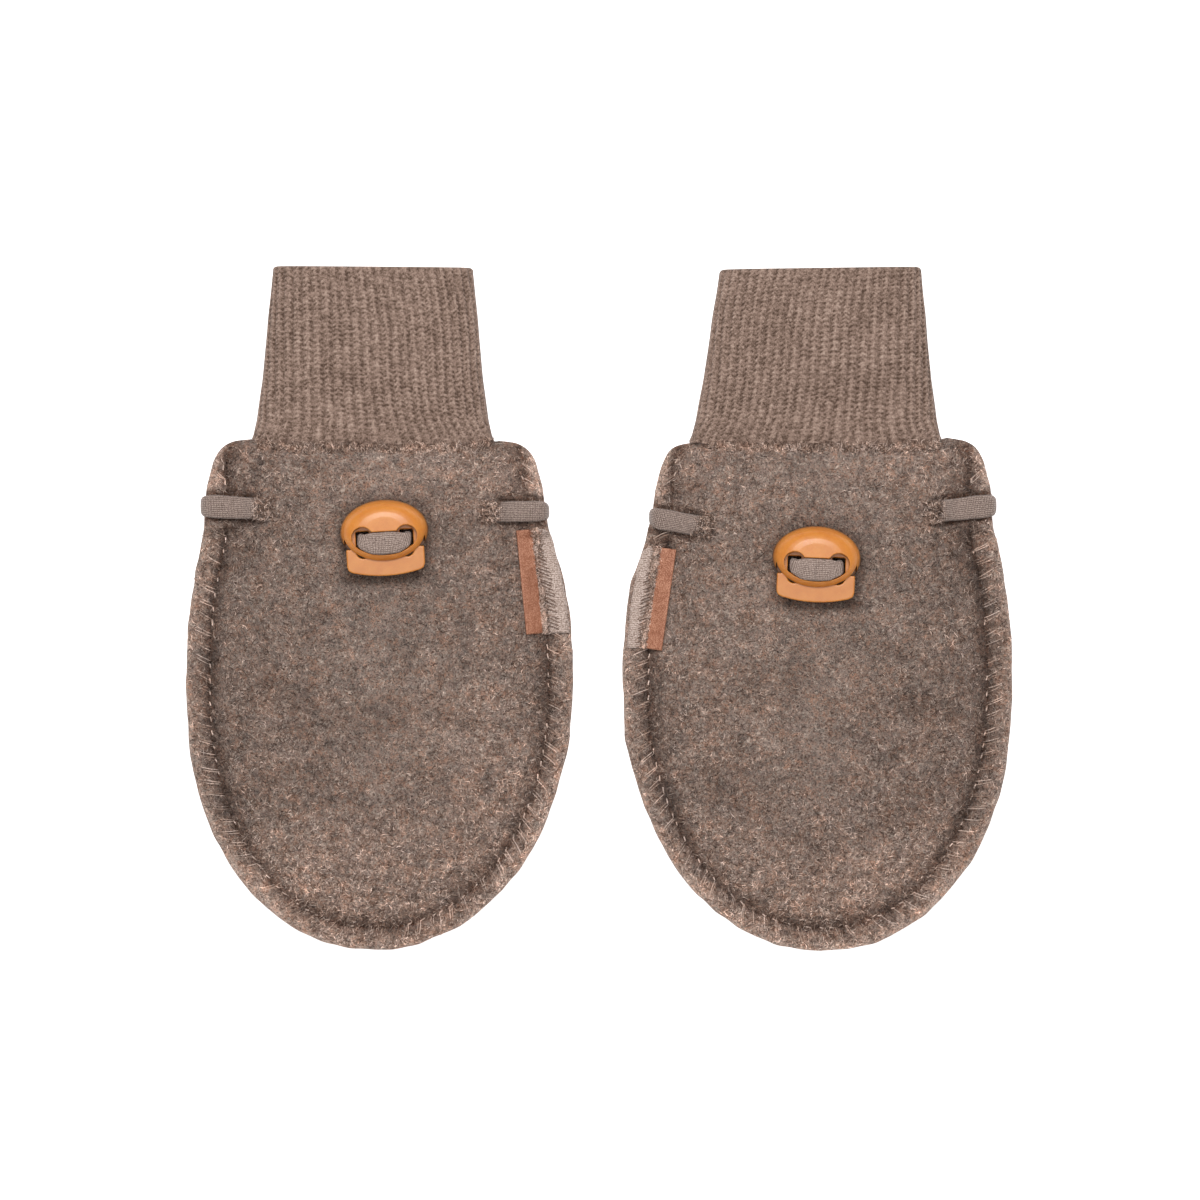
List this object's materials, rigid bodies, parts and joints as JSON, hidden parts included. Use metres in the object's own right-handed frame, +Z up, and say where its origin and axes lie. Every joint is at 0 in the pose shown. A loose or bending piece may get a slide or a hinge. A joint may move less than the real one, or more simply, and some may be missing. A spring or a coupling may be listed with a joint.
{
  "type": "pair of baby mittens",
  "caption": "Baby mittens of felted wool laid flat side by side, thumbless, with rib cuffs, drawstrings and push-button cord locks.",
  "frame": {"origin": "on the surface that the pair lies on, midway between the mittens and midway between cuff openings and tips", "axes": "+X from the left mitten to the right one as seen in the picture, +Y from the tips to the cuffs, +Z up from the surface"},
  "size_m": [0.1686, 0.14, 0.0167],
  "materials": {
    "wool_felt": "thick felted wool, heathered brown grey, short fuzz",
    "rib_knit": "fine rib knit, taupe, matte",
    "jersey_cord": "flat tubular jersey, taupe",
    "lock_plastic": "satin amber plastic",
    "label_leather": "bare smooth brown leather-like strip",
    "woven_tape": "plain woven beige tape"
  },
  "bodies": {
    "mittens": {"left_back_panel": "wool_felt", "left_front_panel": "wool_felt", "left_cuff": "rib_knit", "left_drawstring": "jersey_cord", "left_lock_body": "lock_plastic", "left_label": "label_leather", "left_label_tape": "woven_tape", "right_back_panel": "wool_felt", "right_front_panel": "wool_felt", "right_cuff": "rib_knit", "right_drawstring": "jersey_cord", "right_lock_body": "lock_plastic", "right_label": "label_leather", "right_label_tape": "woven_tape"},
    "left_button": {"left_lock_button": "lock_plastic"},
    "right_button": {"right_lock_button": "lock_plastic"}
  },
  "joints": [
    {"name": "left_button_press", "type": "slide", "parent": "mittens", "child": "left_button", "axis": [-0.0593, 0.9982, 0], "range_m": [0, 0.0024], "stiffness_N_per_m": 800, "springref_m": -0.0008},
    {"name": "right_button_press", "type": "slide", "parent": "mittens", "child": "right_button", "axis": [0.0436, 0.999, 0], "range_m": [0, 0.0024], "stiffness_N_per_m": 800, "springref_m": -0.0008}
  ]
}
